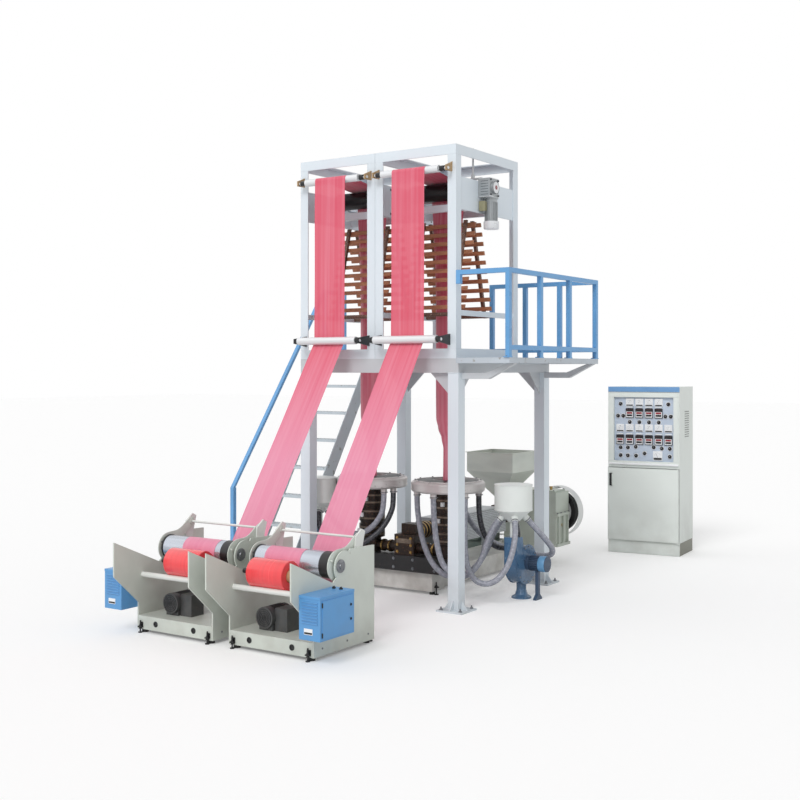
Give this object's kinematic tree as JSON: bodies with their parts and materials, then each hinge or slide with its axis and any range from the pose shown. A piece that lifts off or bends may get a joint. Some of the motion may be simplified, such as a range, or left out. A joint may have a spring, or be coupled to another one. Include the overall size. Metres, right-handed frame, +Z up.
{
  "type": "blown film extrusion machine",
  "caption": "Twin-die blown film line: steel tower with haul-off and collapsing slats, melt extruder, air rings, film webs, paired surface winders and control cabinet",
  "frame": {"origin": "centre of the tower's four columns, on the floor", "axes": "+X to the right along the tower's front, +Y from the winders back to the extruder drive, +Z up"},
  "size_m": [2.823, 6.3436, 3.799],
  "materials": {
    "base_pale": "satin off-white paint",
    "bed_black": "satin black paint",
    "belt_rubber": "matt black rubber belts",
    "blower_blue": "blue paint, a little dusty",
    "box_blue": "light blue enamelled box",
    "bracket_black": "satin black paint",
    "cabinet_paint": "fine-textured light grey enamel",
    "die_steel": "heat-stained steel with heater bands",
    "drum_grey": "satin grey paint",
    "drum_rubber": "black rubber-covered drum",
    "film_pink": "thin translucent pink film",
    "film_roll_red": "wound film, glossy red-pink",
    "foot_rubber": "black levelling feet",
    "gear_green": "satin grey-green paint",
    "guard_grey": "grey painted perforated sheet",
    "guard_white": "white painted sheet band",
    "hopper_steel": "folded stainless sheet",
    "hose_grey": "ribbed grey hose",
    "manifold_brown": "dark brown heat-stained steel",
    "motor_blue": "bright blue paint",
    "motor_green": "satin grey-green paint on a finned motor",
    "rail_paint": "gloss light blue paint",
    "ring_alu": "cast and turned aluminium",
    "roller_alu": "anodised aluminium tube",
    "roller_chrome": "ground and chromed steel",
    "roller_rubber": "matt black rubber cover",
    "slat_wood": "planed hardwood slats, lightly worn",
    "small_motor": "dark blue-grey paint",
    "stair_paint": "satin pale grey paint",
    "steel_bare": "bare machined steel",
    "tower_dark": "satin grey paint on the ring beam and brackets",
    "tower_paint": "satin pale grey-blue paint, lightly scuffed",
    "walk_paint": "satin grey paint on tread plate",
    "wheel_iron": "black painted cast iron",
    "winder_paint": "satin grey-green paint"
  },
  "bodies": {
    "line": {"air_distributors": "drum_grey", "air_hose_left_1": "hose_grey", "air_hose_left_2": "hose_grey", "air_hose_right_1": "hose_grey", "air_hose_right_2": "hose_grey", "air_hose_right_3": "hose_grey", "air_hose_right_4": "hose_grey", "air_hose_right_5": "hose_grey", "air_rings": "ring_alu", "barrel_guard": "guard_grey", "belt_guard": "guard_white", "blower_motors": "motor_blue", "blowers": "blower_blue", "cabinet_body": "cabinet_paint", "collapsing_rails": "steel_bare", "collapsing_slats": "slat_wood", "columns": "tower_paint", "control_boxes": "box_blue", "crank_screw": "steel_bare", "deck_plates": "walk_paint", "die_bed": "bed_black", "die_heads": "die_steel", "drive_belts": "belt_rubber", "extruder_base": "base_pale", "film_bubbles": "film_pink", "film_webs": "film_pink", "gearbox": "gear_green", "guide_brackets": "bracket_black", "haul_off_frames": "tower_paint", "haul_off_motor": "small_motor", "hopper": "hopper_steel", "levelling_feet": "foot_rubber", "main_motor": "motor_green", "melt_manifold": "manifold_brown", "railing": "rail_paint", "ring_beam": "tower_dark", "stair_handrail": "rail_paint", "stair_stringers": "stair_paint", "stair_treads": "stair_paint", "top_brackets": "steel_bare", "tower_brackets": "tower_dark", "upper_posts": "tower_paint", "upper_rings": "tower_paint", "walkway_deck": "walk_paint", "winder_bases": "winder_paint", "winder_motors": "small_motor", "winder_rods": "steel_bare", "winder_side_plates": "winder_paint"},
    "nip_front": {"nip_roller_front": "roller_rubber"},
    "nip_rear": {"nip_roller_rear": "roller_chrome"},
    "top_roll_left": {"top_roller_left": "roller_alu"},
    "top_roll_right": {"top_roller_right": "roller_alu"},
    "guide_roll_left": {"guide_roller_left": "roller_alu"},
    "guide_roll_right": {"guide_roller_right": "roller_alu"},
    "drum_left": {"winder_drum_left": "drum_rubber"},
    "drum_right": {"winder_drum_right": "drum_rubber"},
    "roll_left": {"film_roll_left": "film_roll_red"},
    "roll_right": {"film_roll_right": "film_roll_red"},
    "drive_wheel": {"drive_pulley": "wheel_iron"},
    "door": {"cabinet_door": "cabinet_paint"}
  },
  "joints": [
    {"name": "nip_front_spin", "type": "hinge", "parent": "line", "child": "nip_front", "pos_m": [0, -0.364, 3.453], "axis": [1, 0, 0], "continuous": true},
    {"name": "nip_rear_spin", "type": "hinge", "parent": "line", "child": "nip_rear", "pos_m": [0, -0.2, 3.453], "axis": [1, 0, 0], "continuous": true},
    {"name": "top_roller_left_spin", "type": "hinge", "parent": "line", "child": "top_roll_left", "pos_m": [-0.4085, -0.875, 3.56], "axis": [1, 0, 0], "continuous": true},
    {"name": "guide_roller_left_spin", "type": "hinge", "parent": "line", "child": "guide_roll_left", "pos_m": [-0.4085, -0.949, 2.19], "axis": [1, 0, 0], "continuous": true},
    {"name": "drum_left_spin", "type": "hinge", "parent": "line", "child": "drum_left", "pos_m": [-0.4525, -2.42, 0.6], "axis": [1, 0, 0], "continuous": true},
    {"name": "film_roll_left_spin", "type": "hinge", "parent": "line", "child": "roll_left", "pos_m": [-0.4085, -2.6063, 0.53], "axis": [1, 0, 0], "continuous": true},
    {"name": "top_roller_right_spin", "type": "hinge", "parent": "line", "child": "top_roll_right", "pos_m": [0.3865, -0.875, 3.56], "axis": [1, 0, 0], "continuous": true},
    {"name": "guide_roller_right_spin", "type": "hinge", "parent": "line", "child": "guide_roll_right", "pos_m": [0.3865, -0.949, 2.19], "axis": [1, 0, 0], "continuous": true},
    {"name": "drum_right_spin", "type": "hinge", "parent": "line", "child": "drum_right", "pos_m": [0.4525, -2.42, 0.6], "axis": [1, 0, 0], "continuous": true},
    {"name": "film_roll_right_spin", "type": "hinge", "parent": "line", "child": "roll_right", "pos_m": [0.3865, -2.6063, 0.53], "axis": [1, 0, 0], "continuous": true},
    {"name": "drive_wheel_spin", "type": "hinge", "parent": "line", "child": "drive_wheel", "pos_m": [0.33, 1.96, 0.51], "axis": [0, 1, 0], "continuous": true},
    {"name": "cabinet_door_hinge", "type": "hinge", "parent": "line", "child": "door", "pos_m": [1.26381, 2.85557, 0.52], "axis": [0, 0, 1], "range_deg": [0, 110]}
  ],
  "couplings": [
    {"joint": "nip_rear_spin", "follows": "nip_front_spin", "ratio": -1},
    {"joint": "film_roll_left_spin", "follows": "drum_left_spin", "ratio": -0.8654},
    {"joint": "film_roll_right_spin", "follows": "drum_right_spin", "ratio": -0.8654}
  ]
}
